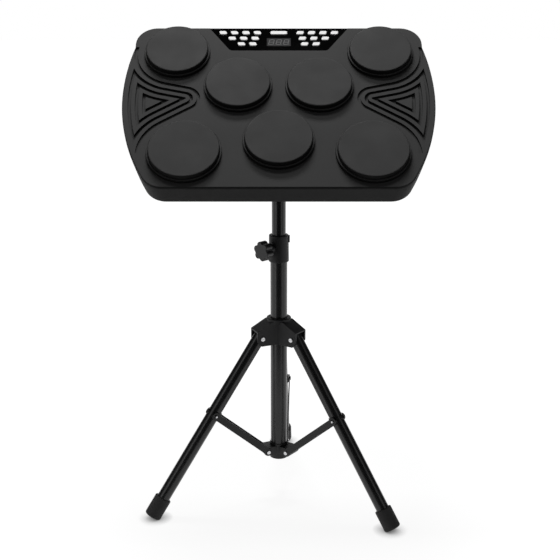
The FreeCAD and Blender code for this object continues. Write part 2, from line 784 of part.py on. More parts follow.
def button(x, y, side):
    cap = button_prism(x, y, side, 0.0, fascia_bottom - FLANGE_GAP, fascia_top + BUTTON_PROUD)
    cap = cap.makeFillet(BUTTON_TOP_R, edges_at(cap, fascia_top + BUTTON_PROUD))
    flange_bottom = fascia_bottom - FLANGE_GAP - FLANGE_T
    flange = button_prism(x, y, side, FLANGE_W, flange_bottom, fascia_bottom - FLANGE_GAP)
    stem = cylinder(STEM_R, flange_bottom - dome_top - SEAT_GAP, Vector(x, y, dome_top + SEAT_GAP))
    return fused([cap, flange, stem])


def button_mat():
    """Soft sheet on the board with a dome under each button, open round the display."""
    low = (-board_half + BOARD_MARGIN + BOSS_R + MAT_MARGIN, board_front + MAT_MARGIN, board_top)
    high = (-low[0], board_rear - MAT_MARGIN, mat_top)
    sheet = box(low, high)
    domes = [cylinder(DOME_R, DOME_H + MAT_T, Vector(x, y, board_top)) for _, x, y, _ in BUTTONS]
    sheet = fused([sheet] + domes)
    opening = (MODULE_W + MAT_MARGIN, MODULE_H + MAT_MARGIN)
    return sheet.cut(rounded_plate(*opening, DISPLAY_R, board_top, mat_top, (0, display_y)))


def main_board():
    board = box((-board_half, board_front, board_top - BOARD_T), (board_half, board_rear, board_top))
    return board.cut([cylinder(SCREW_R + SCREW_HOLE_FIT, BOARD_T, Vector(x, y, board_top - BOARD_T))
                      for x, y in BOARD_POSTS])


def rear_jacks():
    """Three small plug sockets and a power inlet, each through its hole in the rear wall."""
    jacks = []
    inside = deck_rear - SIDE_WALL
    for x, bore in zip(JACK_X, JACK_BORES):
        flange = cylinder(JACK_FLANGE_R, JACK_FLANGE_T, Vector(x, deck_rear, jack_z), Y_AXIS)
        nose = cylinder(JACK_NOSE_R, SIDE_WALL, Vector(x, inside, jack_z), Y_AXIS)
        half = JACK_BODY / 2
        body = box((x - half, inside - JACK_BODY_L, jack_z - half), (x + half, inside, jack_z + half))
        mouth = Vector(x, deck_rear + JACK_FLANGE_T, jack_z)
        jack = fused([flange, nose, body]).cut(cylinder(bore, JACK_BORE_L, mouth, -Y_AXIS))
        if bore > JACK_BORES[0]:
            pin_tip = mouth - Y_AXIS * DC_PIN_INSET
            pin = cylinder(DC_PIN_R, JACK_BORE_L - DC_PIN_INSET + SIDE_WALL / 2, pin_tip, -Y_AXIS)
            jack = jack.fuse(pin)
        jacks.append(jack)
    return Part.makeCompound(jacks)


# Mounting plate: steel, with two ears for the tilt bolt
def mount_plate():
    plate = rounded_plate(PLATE_W, PLATE_L, PLATE_CORNER_R, plate_bottom, case_bottom, (0, -MOUNT_FORWARD))
    plate = plate.cut([cylinder(SCREW_R + SCREW_HOLE_FIT, PLATE_T, Vector(x, y, plate_bottom))
                       for x, y in PLATE_SCREWS])
    ears = []
    for left in (-ear_inner - EAR_T, ear_inner):
        web_low = (left, -MOUNT_FORWARD - EAR_R, -pivot_depth)
        ears.append(box(web_low, (left + EAR_T, -MOUNT_FORWARD + EAR_R, plate_bottom)))
        ears.append(cylinder(EAR_R, EAR_T, Vector(left, -MOUNT_FORWARD, -pivot_depth), X_AXIS))
    whole = fused([plate] + ears)
    bolt_start = Vector(-PLATE_W, -MOUNT_FORWARD, -pivot_depth)
    return whole.cut(cylinder(TILT_BOLT_R + BOLT_FIT, 2 * PLATE_W, bolt_start, X_AXIS))


# Head on the post: a socket for the upper tube with a tongue between the plate's ears
def tilt_head():
    socket_top = pivot_z - HEAD_NECK
    socket = cylinder(HEAD_R, HEAD_SOCKET_L + HEAD_LID, Vector(0, 0, socket_top - HEAD_SOCKET_L - HEAD_LID))
    socket = socket.makeFillet(COLLAR_EDGE_R, edges_at(socket, socket_top))
    tongue = box((-HEAD_W / 2, -EAR_R, socket_top - HEAD_LID), (HEAD_W / 2, EAR_R, pivot_z))
    eye = cylinder(EAR_R, HEAD_W, Vector(-HEAD_W / 2, 0, pivot_z), X_AXIS)
    bore = cylinder(upper_tube_r + TUBE_FIT, HEAD_SOCKET_L, Vector(0, 0, post_top - HEAD_SOCKET_L))
    bolt_hole = cylinder(TILT_BOLT_R + BOLT_FIT, HEAD_W, Vector(-HEAD_W / 2, 0, pivot_z), X_AXIS)
    return fused([socket, tongue, eye]).cut([bore, bolt_hole])


def star_knob():
    """Lobed knob along +Z, with a round waist at its back."""
    radius = KNOB_D / 2
    core = cylinder(radius - KNOB_LOBE_R / 2, KNOB_T)
    lobes = []
    for k in range(KNOB_LOBES):
        angle = 2 * math.pi * k / KNOB_LOBES
        reach = radius - KNOB_LOBE_R
        centre = Vector(reach * math.cos(angle), reach * math.sin(angle), 0)
        lobes.append(cylinder(KNOB_LOBE_R, KNOB_T, centre))
    grip = fused([core] + lobes)
    grip = grip.makeFillet(KNOB_EDGE_R, edges_at(grip, KNOB_T) + edges_at(grip, 0.0))
    waist = cylinder(KNOB_COLLAR_R, KNOB_WAIST + KNOB_EDGE_R, Vector(0, 0, -KNOB_WAIST))
    return fused([grip, waist])


def tilt_knob():
    """Knob on the left of the ears, with its bolt through them to a head on the right."""
    ear_face = ear_inner + EAR_T + HEAD_SIDE_GAP
    pivot = Vector(0, 0, pivot_z)
    grip = aimed(star_knob(), pivot - X_AXIS * (ear_face + KNOB_WAIST), -X_AXIS)
    bolt = cylinder(TILT_BOLT_R, 2 * ear_face + KNOB_WAIST, pivot - X_AXIS * (ear_face + KNOB_WAIST), X_AXIS)
    head = aimed(rivet_head(BOLT_HEAD_R, BOLT_HEAD_T, KNOB_EDGE_R), pivot + X_AXIS * ear_face, X_AXIS)
    return fused([grip, bolt, head])


# Column: two tubes, with a clamping collar at their joint
knob_way = Vector(math.sin(math.radians(KNOB_AZIMUTH)), math.cos(math.radians(KNOB_AZIMUTH)), 0)
knob_base = Vector(0, 0, knob_z)


def upper_tube():
    return tube(upper_tube_r, upper_tube_r - TUBE_WALL, post_top - post_bottom, Vector(0, 0, post_bottom))


def lower_tube():
    body = tube(lower_tube_r, lower_tube_r - TUBE_WALL, tube_top - COLUMN_CLEAR, Vector(0, 0, COLUMN_CLEAR))
    return body.cut(cylinder(STUD_R + STUD_FIT, lower_tube_r * 2, knob_base, knob_way))


def height_collar():
    """Sleeve over the lower tube whose lip guides the upper one, with a threaded boss for the knob."""
    radius = COLLAR_D / 2
    body = Part.makeCone(radius + COLLAR_FLARE, radius, COLLAR_GRIP + COLLAR_LIP, Vector(0, 0, collar_bottom))
    body = body.makeFillet(COLLAR_EDGE_R, edges_at(body, collar_top) + edges_at(body, collar_bottom))
    boss = cylinder(CLAMP_BOSS_R, CLAMP_BOSS_REACH, knob_base, knob_way)
    tab_low = (0.0, -COLLAR_TAB_W / 2, collar_top - COLLAR_TAB_H)
    tab = box(tab_low, (radius + COLLAR_TAB_REACH, COLLAR_TAB_W / 2, collar_top - COLLAR_EDGE_R))
    whole = fused([body, boss, tab])
    grip = cylinder(lower_tube_r + TUBE_FIT, COLLAR_GRIP, Vector(0, 0, collar_bottom))
    guide = cylinder(upper_tube_r + SLIDE_FIT, COLLAR_GRIP + COLLAR_LIP, Vector(0, 0, collar_bottom))
    thread = cylinder(STUD_R + STUD_FIT, CLAMP_BOSS_REACH, knob_base, knob_way)
    return whole.cut([grip, guide, thread])


def height_knob():
    """Knob with the stud that presses on the upper tube."""
    stud_start = upper_tube_r + SLIDE_FIT
    grip = aimed(star_knob(), knob_base + knob_way * (KNOB_REACH + KNOB_WAIST - KNOB_EDGE_R), knob_way)
    stud = cylinder(STUD_R, KNOB_REACH - stud_start + KNOB_WAIST, knob_base + knob_way * stud_start, knob_way)
    return fused([grip, stud])


# Tripod hub: a sleeve that slides on the column, with three forked arms
hub_bore = lower_tube_r + SLIDE_FIT
hub_sleeve = hub_bore + HUB_SLEEVE_WALL
cheek_inner = leg_r + HUB_CHEEK_GAP
cheek_outer = cheek_inner + HUB_CHEEK_T


def hub_arm():
    """One arm in its leg's plane: two cheeks under a sloping roof."""
    root_z = hub_top - HUB_ARM_ROOT_DROP
    end_z = hub_top - HUB_ARM_END_DROP
    side = [(0, root_z), (hub_sleeve, root_z), (HUB_ARM_END, end_z),
            (HUB_ARM_END, hub_bottom + HUB_TOE_LIFT), (HUB_ARM_END - HUB_TOE_BACK, hub_bottom),
            (0, hub_bottom)]
    corners = [Vector(x, -cheek_outer, z) for x, z in side]
    solid = Part.Face(Part.makePolygon(corners + corners[:1])).extrude(Vector(0, 2 * cheek_outer, 0))
    under = [(hub_sleeve, hub_bottom), (hub_sleeve, root_z - HUB_ROOF_T),
             (HUB_ARM_END + HUB_ROOF_T, end_z - HUB_ROOF_T), (HUB_ARM_END + HUB_ROOF_T, hub_bottom)]
    corners = [Vector(x, -cheek_inner, z) for x, z in under]
    room = Part.Face(Part.makePolygon(corners + corners[:1])).extrude(Vector(0, 2 * cheek_inner, 0))
    hole_start = Vector(HUB_PIVOT_R, -cheek_outer, hub_pivot_z)
    screw_hole = cylinder(PIVOT_SCREW_R + PIVOT_FIT, 2 * cheek_outer, hole_start, Y_AXIS)
    return solid.cut([room, screw_hole])


def leg_hub():
    sleeve = cylinder(hub_sleeve, hub_top - hub_bottom, Vector(0, 0, hub_bottom))
    ring = cylinder(HUB_RING_R, HUB_RING_H, Vector(0, 0, hub_top - HUB_RING_H))
    ring = ring.makeFillet(COLLAR_EDGE_R, edges_at(ring, hub_top))
    arms = [round_column(hub_arm(), azimuth) for azimuth in LEG_AZIMUTHS]
    whole = fused([sleeve, ring] + arms)
    return whole.cut(cylinder(hub_bore, hub_top - hub_bottom, Vector(0, 0, hub_bottom)))


def hub_screws():
    """Leg pivots: a screw through each fork with a slotted head at both ends."""
    screws = []
    head = rivet_head(PIVOT_HEAD_R, PIVOT_HEAD_T, HEAD_EDGE_R)
    slot_low = (-PIVOT_HEAD_R, -SLOT_W / 2, PIVOT_HEAD_T - SLOT_DEPTH)
    head = head.cut(box(slot_low, (PIVOT_HEAD_R, SLOT_W / 2, PIVOT_HEAD_T)))
    for azimuth in LEG_AZIMUTHS:
        pivot = Vector(HUB_PIVOT_R, 0, hub_pivot_z)
        shank = cylinder(PIVOT_SCREW_R, 2 * cheek_outer, pivot - Y_AXIS * cheek_outer, Y_AXIS)
        ends = [aimed(head, pivot + Y_AXIS * (way * cheek_outer), Y_AXIS * way) for way in (-1, 1)]
        screws.append(round_column(fused([shank] + ends), azimuth))
    return Part.makeCompound(screws)


# Leg, foot and strut clip, along the leg with the pivot at the origin
def leg():
    length = LEG_LENGTH - FOOT_WALL + LEG_TOP
    body = tube(leg_r, leg_r - LEG_WALL, length, Vector(0, 0, LEG_TOP - length))
    pivot_hole = cylinder(PIVOT_SCREW_R + PIVOT_FIT, 2 * LEG_D, Vector(0, -LEG_D, 0), Y_AXIS)
    clip_hole = cylinder(RIVET_R + TUBE_FIT, 2 * LEG_D, Vector(-LEG_D, 0, -STRUT_AT), X_AXIS)
    return along_leg(body.cut([pivot_hole, clip_hole]))


def foot():
    cap = cylinder(FOOT_D / 2, FOOT_L, Vector(0, 0, -LEG_LENGTH))
    cap = cap.makeFillet(FOOT_END_R, edges_at(cap, -LEG_LENGTH))
    cap = cap.makeFillet(FOOT_RIM_R, edges_at(cap, FOOT_L - LEG_LENGTH))
    cap = cap.cut(cylinder(leg_r + TUBE_FIT, FOOT_L - FOOT_WALL, Vector(0, 0, FOOT_WALL - LEG_LENGTH)))
    below = box((-REACH, -REACH, -REACH), (REACH, REACH, 0))
    return along_leg(cap).cut(below)


def leg_clip():
    """Steel saddle on the leg's inner side, with a flat ear each side and a rivet through the leg."""
    bore = leg_r + TUBE_FIT
    saddle = tube(clip_outer, bore, CLIP_L, Vector(0, 0, -STRUT_AT - CLIP_L / 2))
    saddle = saddle.cut(box((CLIP_WRAP, -LEG_D, -STRUT_AT - CLIP_L), (LEG_D, LEG_D, -STRUT_AT + CLIP_L)))
    shapes = [saddle]
    for way in (-1, 1):
        shapes.append(cylinder(CLIP_EAR_R, CLIP_T, Vector(0, way * bore, -STRUT_AT), Y_AXIS * way))
    rivet_start = Vector(TUBE_FIT - clip_outer, 0, -STRUT_AT)
    shapes.append(cylinder(RIVET_R, bore + clip_outer - TUBE_FIT, rivet_start, X_AXIS))
    head = rivet_head(CLIP_RIVET_HEAD_R, CLIP_RIVET_HEAD_T, CLIP_RIVET_HEAD_T / 2)
    shapes.append(aimed(head, Vector(bore, 0, -STRUT_AT), X_AXIS))
    return along_leg(fused(shapes))


def strut():
    """Two flat straps, one each side of the leg, with a rivet head at the upper eye of each."""
    way_up = (strut_top - strut_foot).normalize()
    across = way_up.cross(Y_AXIS)
    straps = []
    for way in (-1, 1):
        inner = Y_AXIS * (way * strut_inner)
        half = across * (STRUT_W / 2)
        corners = [strut_foot - half + inner, strut_foot + half + inner, strut_top + half + inner,
                   strut_top - half + inner]
        bar = Part.Face(Part.makePolygon(corners + corners[:1])).extrude(Y_AXIS * (way * STRUT_T))
        eyes = [cylinder(STRUT_EYE_R, STRUT_T, end + inner, Y_AXIS * way) for end in (strut_foot, strut_top)]
        head = rivet_head(RIVET_HEAD_R, RIVET_HEAD_T, HEAD_EDGE_R)
        head = aimed(head, strut_top + Y_AXIS * (way * strut_outer), Y_AXIS * way)
        strap = fused([bar, head] + eyes)
        pin_hole = cylinder(RIVET_R + PIVOT_FIT, STRUT_T, strut_foot + inner, Y_AXIS * way)
        straps.append(strap.cut(pin_hole))
    return Part.makeCompound(straps)


# Bracket at the column's foot, with three lugs for the struts, and their pins
def spreader_bracket():
    low = Vector(0, 0, COLUMN_CLEAR)
    sleeve = cylinder(lower_tube_r + SPREADER_SLEEVE_WALL, SPREADER_SLEEVE_L, low)
    lug = box((0, -lug_half, spreader_z - LUG_R), (SPREADER_R, lug_half, spreader_z + LUG_R))
    eye = cylinder(LUG_R, 2 * lug_half, Vector(SPREADER_R, -lug_half, spreader_z), Y_AXIS)
    pin_hole = cylinder(RIVET_R + TUBE_FIT, 2 * lug_half, Vector(SPREADER_R, -lug_half, spreader_z), Y_AXIS)
    lugs = [round_column(fused([lug, eye]).cut(pin_hole), azimuth) for azimuth in LEG_AZIMUTHS]
    bore = cylinder(lower_tube_r + TUBE_FIT, SPREADER_SLEEVE_L, low)
    return fused([sleeve] + lugs).cut(bore)


def spreader_rivets():
    rivets = []
    end = strut_outer + STRUT_GAP / 2
    for azimuth in LEG_AZIMUTHS:
        centre = Vector(SPREADER_R, 0, spreader_z)
        shapes = [cylinder(RIVET_R, 2 * end, centre - Y_AXIS * end, Y_AXIS)]
        for way in (-1, 1):
            head = rivet_head(RIVET_HEAD_R, RIVET_HEAD_T, HEAD_EDGE_R)
            shapes.append(aimed(head, centre + Y_AXIS * (way * end), Y_AXIS * way))
        rivets.append(round_column(fused(shapes), azimuth))
    return Part.makeCompound(rivets)


# The drum
for make in (upper_shell, lower_shell, console_fascia, display_lens, led_display, button_mat, main_board,
             pad_sensors, pad_foam_rings, case_screws, rear_jacks, mount_plate):
    pieces[make.__name__] = on_deck(make())
for number, spot in enumerate(PADS, 1):
    pieces[f"drum_pad_{number}"] = on_deck(drum_pad(*spot))
for name, x, y, side in BUTTONS:
    pieces[name] = on_deck(button(x, y, side))

# The stand
for make in (tilt_head, tilt_knob, upper_tube, lower_tube, height_collar, height_knob, leg_hub, hub_screws,
             spreader_bracket, spreader_rivets):
    pieces[make.__name__] = make()
for make in (leg, foot, leg_clip, strut):
    shape = make()
    for number, azimuth in enumerate(LEG_AZIMUTHS, 1):
        pieces[f"{make.__name__}_{number}"] = round_column(shape, azimuth)

# The origin is under the middle of the whole object, on the floor
whole_box = FreeCAD.BoundBox()
for shape in pieces.values():
    whole_box.add(shape.optimalBoundingBox(False, False))
to_origin = Vector(-whole_box.Center.x, -whole_box.Center.y, -whole_box.ZMin)

for name, shape in pieces.items():
    shape.translate(to_origin)
    shape.exportStep(f"parts/{name}.step")
size = (whole_box.XLength, whole_box.YLength, whole_box.ZLength)
print("nodes", len(pieces), "size", [round(v, 1) for v in size])
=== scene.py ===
import bpy
import json
import math
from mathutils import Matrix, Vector


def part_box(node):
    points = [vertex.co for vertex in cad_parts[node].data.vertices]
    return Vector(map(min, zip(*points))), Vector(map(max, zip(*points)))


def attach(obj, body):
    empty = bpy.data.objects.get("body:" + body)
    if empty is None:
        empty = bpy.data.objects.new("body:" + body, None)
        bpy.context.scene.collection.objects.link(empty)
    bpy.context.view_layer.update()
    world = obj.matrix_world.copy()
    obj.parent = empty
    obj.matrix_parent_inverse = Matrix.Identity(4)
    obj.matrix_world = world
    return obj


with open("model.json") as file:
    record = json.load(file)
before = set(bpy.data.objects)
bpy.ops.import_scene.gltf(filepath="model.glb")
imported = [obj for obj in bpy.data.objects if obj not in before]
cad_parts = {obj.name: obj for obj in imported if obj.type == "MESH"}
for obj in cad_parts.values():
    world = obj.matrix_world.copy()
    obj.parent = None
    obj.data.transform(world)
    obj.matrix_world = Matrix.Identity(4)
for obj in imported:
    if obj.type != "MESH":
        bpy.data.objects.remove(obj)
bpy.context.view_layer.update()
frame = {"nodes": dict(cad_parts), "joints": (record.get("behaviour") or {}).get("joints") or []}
nodes = frame["nodes"]
scene = bpy.context.scene
scene.view_settings.view_transform = "Standard"

# Viewpoint: about two metres in front of the column, a little above the drum,
# looking slightly down at the middle of the stand.
EYE_X = 0.0022
EYE_DISTANCE = 2.0
EYE_HEIGHT = 1.0082
AIM_HEIGHT = 0.4325
tube_low, tube_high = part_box("upper_tube")
column_y = tube_low[1] + (tube_high[1] - tube_low[1]) / 2
viewpoint = bpy.data.objects.new("viewpoint", bpy.data.cameras.new("viewpoint"))
scene.collection.objects.link(viewpoint)
viewpoint.location = (EYE_X, column_y - EYE_DISTANCE, EYE_HEIGHT)
looking_at = Vector((EYE_X, column_y, AIM_HEIGHT))
viewpoint.rotation_euler = (looking_at - viewpoint.location).to_track_quat("-Z", "Y").to_euler()
viewpoint.data.sensor_width = 36.0
viewpoint.data.lens = 72.62
scene.camera = viewpoint


# Lamps: two high over the drum, so that the pads throw a short shade towards the player, a tall
# weak one on each side that draws a light line down each tube, and a broad one on each side that
# only fills the shade on the case's walls.
def soft_lamp(name, place, target, size, watts, glints=True):
    lamp = bpy.data.objects.new(name, bpy.data.lights.new(name, "AREA"))
    scene.collection.objects.link(lamp)
    lamp.location = place
    lamp.rotation_euler = (Vector(target) - Vector(place)).to_track_quat("-Z", "Y").to_euler()
    lamp.data.shape = "RECTANGLE"
    lamp.data.size, lamp.data.size_y = size
    lamp.data.energy = watts
    lamp.visible_camera = False
    lamp.visible_glossy = glints


soft_lamp("rear_lamp", place=(-0.15, 0.56, 2.6), target=(-0.15, 0.56, 0.0), size=(0.9, 0.34), watts=32.0)
soft_lamp("front_lamp", place=(-0.15, -0.10, 2.6), target=(-0.15, -0.10, 0.0), size=(0.9, 0.2), watts=12.0)
for name, side, watts in (("left_lamp", -1, 3.0), ("right_lamp", 1, 1.8)):
    soft_lamp(name, place=(side * 1.5, -1.45, 0.6), target=(0.0, 0.0, 0.6), size=(0.35, 2.2), watts=watts)
for name, side in (("left_fill", -1), ("right_fill", 1)):
    soft_lamp(name, place=(side * 2.2, 0.2, 0.9), target=(0.0, 0.2, 0.7), size=(1.4, 1.4), watts=6.0, glints=False)


# White room: plain white where it is seen, and only a weak light on the object. Glossy faces see
# it white low down behind the stand, and dark elsewhere but for a pale screen on each side in front.
def link(tree, source, target):
    tree.links.new(source, target)


def add_node(tree, kind, inputs=(), **settings):
    """A node with its settings made and its inputs linked to other outputs or given plain values."""
    node = tree.nodes.new(kind)
    for name, value in settings.items():
        setattr(node, name, value)
    for key, value in dict(inputs).items():
        if isinstance(value, bpy.types.NodeSocket):
            link(tree, value, node.inputs[key])
        else:
            node.inputs[key].default_value = value
    return node


def calc(tree, operation, first, second=None):
    """The output of a math node over one or two numbers or outputs."""
    operands = {0: first} if second is None else {0: first, 1: second}
    return add_node(tree, "ShaderNodeMath", operands, operation=operation).outputs[0]


def ramp(tree, value, start, end, low=0.0, high=1.0):
    """A value carried from the range start to end over to low to high, and held at both ends."""
    ranges = {"Value": value, "From Min": start, "From Max": end, "To Min": low, "To Max": high}
    return add_node(tree, "ShaderNodeMapRange", ranges).outputs[0]


AMBIENT = 0.1
world = bpy.data.worlds.new("white_room")
scene.world = world
world.use_nodes = True
room = world.node_tree
room.nodes.clear()
towards = add_node(room, "ShaderNodeTexCoord").outputs["Generated"]
across, back, up = add_node(room, "ShaderNodeSeparateXYZ", {0: towards}).outputs
low_down = ramp(room, up, start=0.15, end=0.75, low=1.0, high=0.03)
behind = ramp(room, back, start=0.7, end=0.98, low=0.04, high=1.0)
in_front = ramp(room, back, start=-0.1, end=-0.5)
mirrored = calc(room, "MULTIPLY", low_down, behind)
for inner, outer, brightness in ((-0.45, -0.7, 0.8), (0.45, 0.7, 0.5)):
    screen = ramp(room, across, start=inner, end=outer, high=brightness)
    mirrored = calc(room, "MAXIMUM", mirrored, calc(room, "MULTIPLY", screen, in_front))
rays = add_node(room, "ShaderNodeLightPath").outputs
seen = calc(room, "MAXIMUM", rays["Is Camera Ray"], rays["Is Transmission Ray"])
seen = calc(room, "MAXIMUM", seen, calc(room, "MULTIPLY", rays["Is Glossy Ray"], mirrored))
from_above = ramp(room, up, start=-0.05, end=0.05, low=0.15, high=1.0)
ambient = calc(room, "MULTIPLY", calc(room, "MULTIPLY", rays["Is Diffuse Ray"], from_above), AMBIENT)
air = add_node(room, "ShaderNodeBackground", {
    "Color": (1.0, 1.0, 1.0, 1.0), "Strength": calc(room, "MAXIMUM", seen, ambient)})
add_node(room, "ShaderNodeOutputWorld", {"Surface": air.outputs[0]})


# Floor: a matt white sheet. Seen directly or in a glossy face it glows nearly to white and keeps a
# thin share of the object's shadow. Close to where the feet touch it, painted shade from an occlusion
# node darkens the glow.
def vector_calc(tree, operation, first, second=None, scale=None):
    """The output of a vector math node: a plain value for a length or a dot product."""
    inputs = {0: first}
    if second is not None:
        inputs[1] = second
    if scale is not None:
        inputs["Scale"] = scale
    node = add_node(tree, "ShaderNodeVectorMath", inputs, operation=operation)
    return node.outputs["Value" if operation in ("LENGTH", "DOT_PRODUCT") else "Vector"]


FLOOR_FRONT = 0.75
FLOOR_FAR = 12.0
PAINTED_SHADE_REACH = 0.02
floor_mesh = bpy.data.meshes.new("white_floor")
floor_mesh.from_pydata([(-FLOOR_FAR, -FLOOR_FRONT, 0), (FLOOR_FAR, -FLOOR_FRONT, 0),
                        (FLOOR_FAR, FLOOR_FAR, 0), (-FLOOR_FAR, FLOOR_FAR, 0)], [], [(0, 1, 2, 3)])
white_floor = bpy.data.objects.new("white_floor", floor_mesh)
scene.collection.objects.link(white_floor)
floor_paint = bpy.data.materials.new("floor_white")
floor_paint.use_nodes = True
sheet = floor_paint.node_tree
sheet.nodes.clear()
matt = add_node(sheet, "ShaderNodeBsdfDiffuse", {"Color": (0.9, 0.9, 0.9, 1.0)})
shadow_share = add_node(sheet, "ShaderNodeBsdfDiffuse", {"Color": (0.13, 0.13, 0.13, 1.0)})
apart = vector_calc(sheet, "LENGTH", add_node(sheet, "ShaderNodeTexCoord").outputs["Object"])
white_share = ramp(sheet, apart, start=0.3, end=0.7, low=0.92, high=1.0)
# Painted shade: occlusion near the feet darkens the floor's glow.
painted_contact_shade = add_node(sheet, "ShaderNodeAmbientOcclusion", {"Distance": PAINTED_SHADE_REACH}).outputs["AO"]
glow = add_node(sheet, "ShaderNodeEmission", {"Strength": calc(sheet, "MULTIPLY", white_share, painted_contact_shade)})
shown = add_node(sheet, "ShaderNodeAddShader", {0: glow.outputs[0], 1: shadow_share.outputs[0]})
rays = add_node(sheet, "ShaderNodeLightPath").outputs
seen = calc(sheet, "MAXIMUM", rays["Is Camera Ray"], rays["Is Glossy Ray"])
seen = calc(sheet, "MAXIMUM", seen, rays["Is Transmission Ray"])
both = add_node(sheet, "ShaderNodeMixShader", {0: seen, 1: matt.outputs[0], 2: shown.outputs[0]})
add_node(sheet, "ShaderNodeOutputMaterial", {"Surface": both.outputs[0]})
floor_mesh.materials.append(floor_paint)


# Column and legs: drawn steel tube, powder coated black. The coat has a faint orange peel and
# small changes of gloss where hands and the collar have rubbed it.
def surface_group():
    """Fine grain as a height, and slow blotches as a mask, both in the object's own space."""
    group = bpy.data.node_groups.new("Grain and blotches", "ShaderNodeTree")
    for name, value in (("Grain scale", 900.0), ("Blotch scale", 14.0)):
        socket = group.interface.new_socket(name=name, in_out="INPUT", socket_type="NodeSocketFloat")
        socket.default_value = value
    for name in ("Grain", "Blotches"):
        group.interface.new_socket(name=name, in_out="OUTPUT", socket_type="NodeSocketFloat")
    enter = group.nodes.new("NodeGroupInput").outputs
    place = add_node(group, "ShaderNodeTexCoord").outputs["Object"]
    grain = add_node(group, "ShaderNodeTexNoise", {
        "Vector": place, "Scale": enter["Grain scale"], "Detail": 3.0})
    blotches = add_node(group, "ShaderNodeTexNoise", {
        "Vector": place, "Scale": enter["Blotch scale"], "Detail": 4.0, "Roughness": 0.6})
    add_node(group, "NodeGroupOutput", {"Grain": grain.outputs["Fac"], "Blotches": blotches.outputs["Fac"]})
    return group


grain_and_blotches = surface_group()


def finish(name, dark, light, rough, grain_scale, grain_height, blotch_scale=14.0, specular=0.5, metallic=0.0):
    """Material whose colour and roughness wander with the blotches, over a fine grain."""
    material = bpy.data.materials.new(name)
    material.use_nodes = True
    tree = material.node_tree
    skin = tree.nodes["Principled BSDF"].inputs
    pattern = add_node(tree, "ShaderNodeGroup", {"Grain scale": grain_scale, "Blotch scale": blotch_scale},
                       node_tree=grain_and_blotches).outputs
    colour = add_node(tree, "ShaderNodeMix", {
        "Factor": pattern["Blotches"], "A": (*dark, 1.0), "B": (*light, 1.0)}, data_type="RGBA")
    link(tree, colour.outputs["Result"], skin["Base Color"])
    smoothest, roughest = rough
    link(tree, ramp(tree, pattern["Blotches"], start=0.3, end=0.7, low=smoothest, high=roughest), skin["Roughness"])
    bump = add_node(tree, "ShaderNodeBump", {"Distance": grain_height, "Height": pattern["Grain"]})
    link(tree, bump.outputs["Normal"], skin["Normal"])
    skin["Specular IOR Level"].default_value = specular
    skin["Metallic"].default_value = metallic
    return material


def paint(material, *names):
    for name in names:
        nodes[name].material_slots[0].material = material


LEGS = (1, 2, 3)
powder_coat = finish("black_powder_coat", dark=(0.008, 0.008, 0.0085), light=(0.014, 0.014, 0.0145),
                     rough=(0.22, 0.3), grain_scale=700.0, grain_height=0.00006, specular=0.45)
paint(powder_coat, "upper_tube", "lower_tube", *[f"leg_{k}" for k in LEGS])

# Struts, clips, spreader bracket and mount plate: stamped steel sheet under the same black coat,
# which lies a little rougher on the flat sheet. They are riveted or screwed in place.
sheet_coat = finish("black_sheet_coat", dark=(0.006, 0.006, 0.0063), light=(0.010, 0.010, 0.0104),
                    rough=(0.34, 0.46), grain_scale=900.0, grain_height=0.00006, specular=0.35)
paint(sheet_coat, "spreader_bracket", "mount_plate", *[f"strut_{k}" for k in LEGS], *[f"leg_clip_{k}" for k in LEGS])

# Hub, collar and tilt head: glass-filled nylon mouldings with a dry, faintly speckled skin.
# The hub slides on the lower tube, the collar sits on that tube's top end, and the head turns on
# the upper tube.
nylon = finish("black_nylon", dark=(0.013, 0.013, 0.014), light=(0.022, 0.022, 0.023),
               rough=(0.42, 0.55), grain_scale=1400.0, grain_height=0.00009, specular=0.3)
paint(nylon, "leg_hub", "height_collar", "tilt_head")

# Clamp knobs: lobed heads moulded in the same nylon over a steel bolt or stud,
# and polished by fingers.
knob_nylon = finish("knob_nylon", dark=(0.009, 0.009, 0.0095), light=(0.016, 0.016, 0.017),
                    rough=(0.32, 0.45), grain_scale=1400.0, grain_height=0.00007, specular=0.4)
paint(knob_nylon, "tilt_knob", "height_knob")

# Feet: soft black rubber caps, moulded with a dry skin
# and pushed over the leg ends.
foot_rubber = finish("foot_rubber", dark=(0.022, 0.022, 0.022), light=(0.036, 0.036, 0.036),
                     rough=(0.6, 0.75), grain_scale=1800.0, grain_height=0.00012, specular=0.3)
paint(foot_rubber, *[f"foot_{k}" for k in LEGS])

# Leg pivots, spreader rivets and case screws: zinc plated steel with fine turning marks,
# riveted over or driven in from outside.
zinc = finish("zinc_plate", dark=(0.55, 0.55, 0.56), light=(0.72, 0.72, 0.73), rough=(0.22, 0.36),
              grain_scale=2600.0, grain_height=0.00003, blotch_scale=60.0, metallic=1.0)
paint(zinc, "hub_screws", "spreader_rivets", "case_screws")


# Strut rivets: domed zinc heads that close the struts' upper eyes, one on each side of a leg.
# Each pair sits on the leg clip's pin line and moves with its strut.
def shape_tree(name, kinds):
    """A new geometry tree with the named inputs, those inputs' sockets, and the socket that it puts out."""
    tree = bpy.data.node_groups.new(name, "GeometryNodeTree")
    for socket, kind in kinds.items():
        tree.interface.new_socket(name=socket, in_out="INPUT", socket_type="NodeSocket" + kind)
    tree.interface.new_socket(name="Geometry", in_out="OUTPUT", socket_type="NodeSocketGeometry")
    enter = tree.nodes.new("NodeGroupInput")
    leave = tree.nodes.new("NodeGroupOutput")
    return tree, enter.outputs, leave.inputs["Geometry"]


def own_place(tree):
    """The point's own place, as one output."""
    return add_node(tree, "GeometryNodeInputPosition").outputs[0]


def parted(tree, vector):
    """The three parts of a vector, as outputs."""
    return add_node(tree, "ShaderNodeSeparateXYZ", {0: vector}).outputs


def joined(tree, x, y, z):
    """A vector from three numbers or outputs."""
    return add_node(tree, "ShaderNodeCombineXYZ", {0: x, 1: y, 2: z}).outputs[0]


def shaped(tree, kind, inputs, **settings):
    """The first output of a geometry node."""
    return add_node(tree, kind, inputs, **settings).outputs[0]


